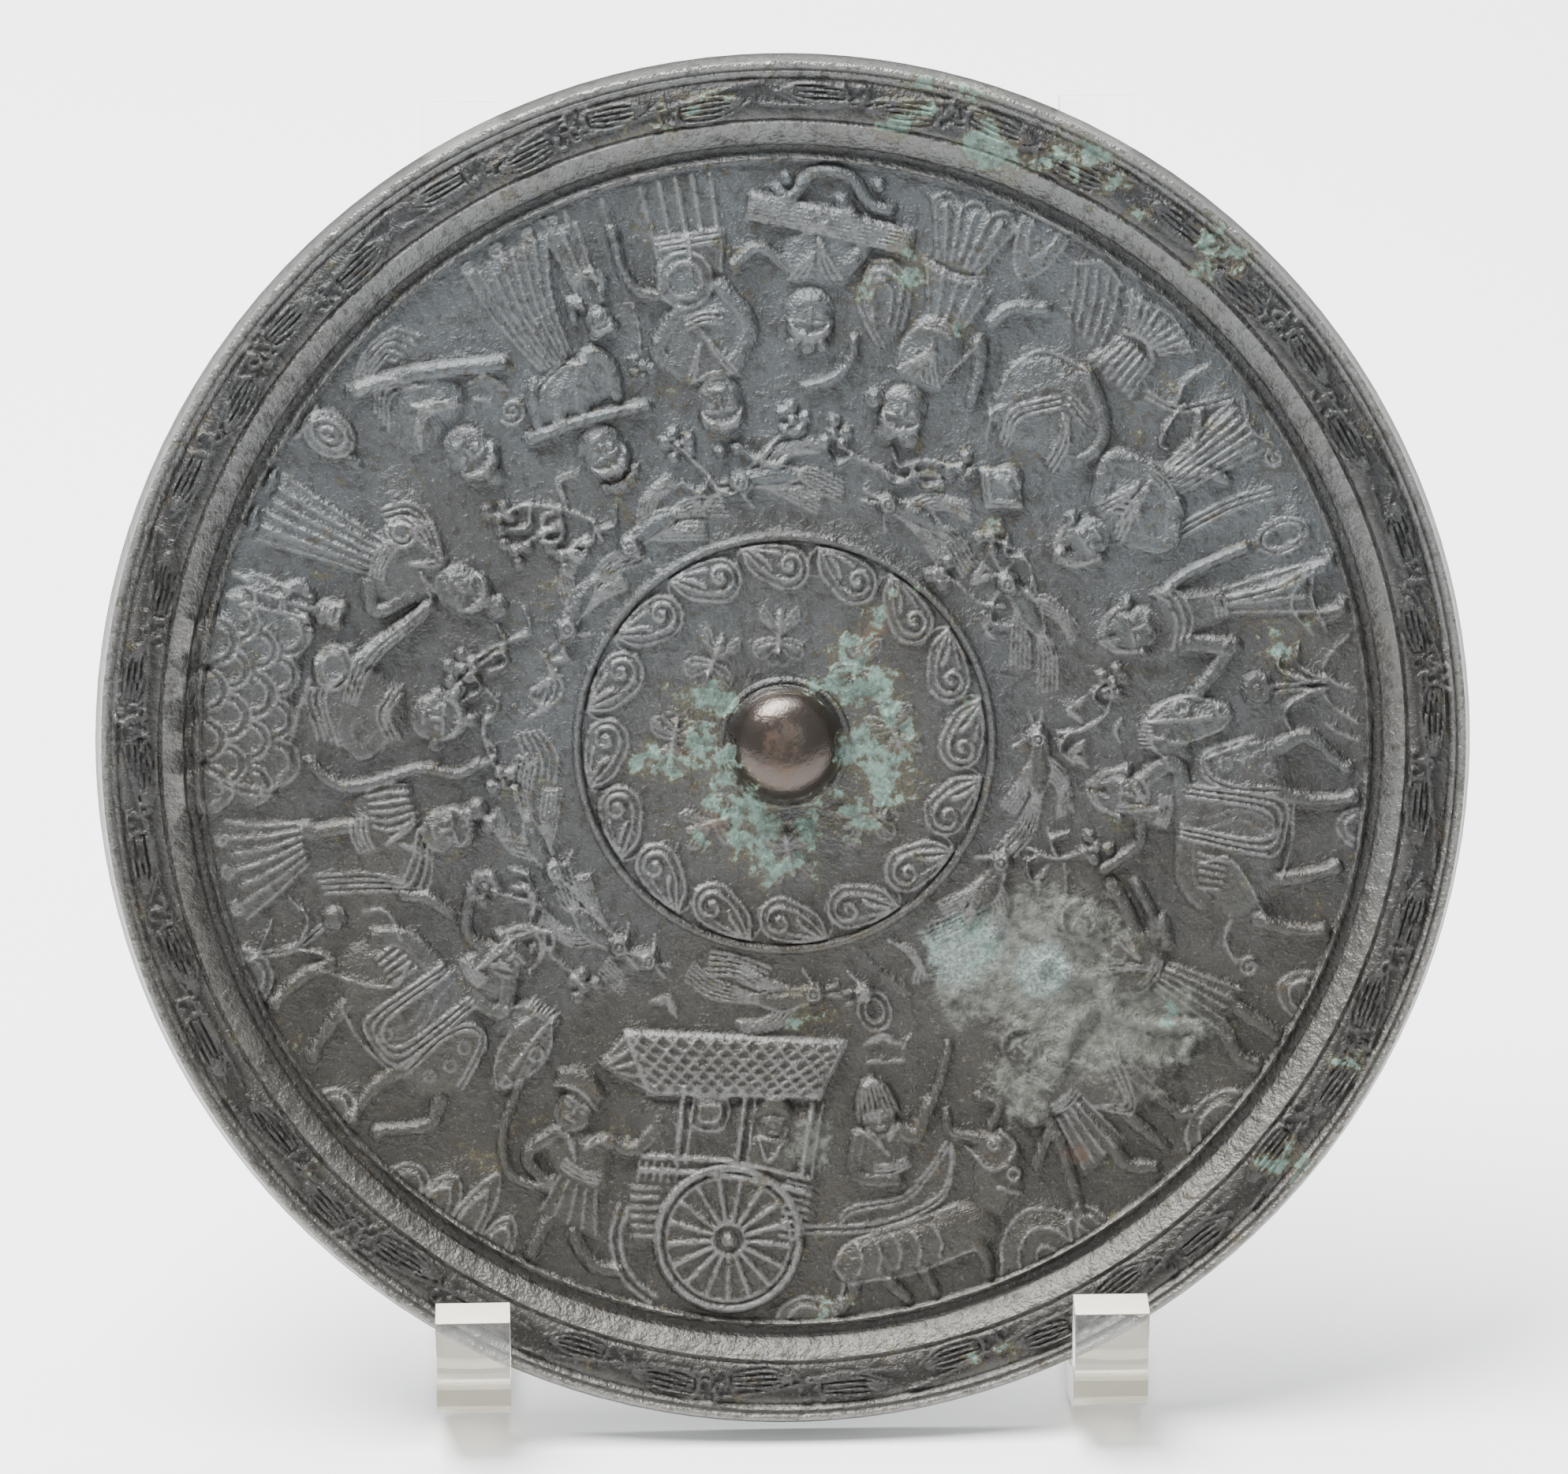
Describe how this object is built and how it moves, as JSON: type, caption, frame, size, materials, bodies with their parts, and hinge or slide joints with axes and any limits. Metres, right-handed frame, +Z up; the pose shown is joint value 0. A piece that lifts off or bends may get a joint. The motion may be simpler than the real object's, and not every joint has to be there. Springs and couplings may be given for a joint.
{
  "type": "bronze mirror in a clear acrylic display stand",
  "caption": "Round cast bronze mirror with a pierced knob and a procession in relief, leaning in a clear acrylic stand with hooked arms.",
  "frame": {"origin": "middle of the footprint, on the table", "axes": "+Z up, +X to the right of somebody facing the decorated side, which looks towards -Y and upwards"},
  "size_m": [0.24, 0.1044, 0.2275],
  "materials": {
    "bronze": "cast, dark grey-brown patina with verdigris, worn brighter on the raised edges",
    "clear_acrylic": "clear and polished, with cut edges that look cream"
  },
  "bodies": {
    "root": {"bronze_mirror": "bronze", "stand_arm_left": "clear_acrylic", "stand_arm_right": "clear_acrylic", "stand_cross_bar": "clear_acrylic"}
  },
  "joints": []
}
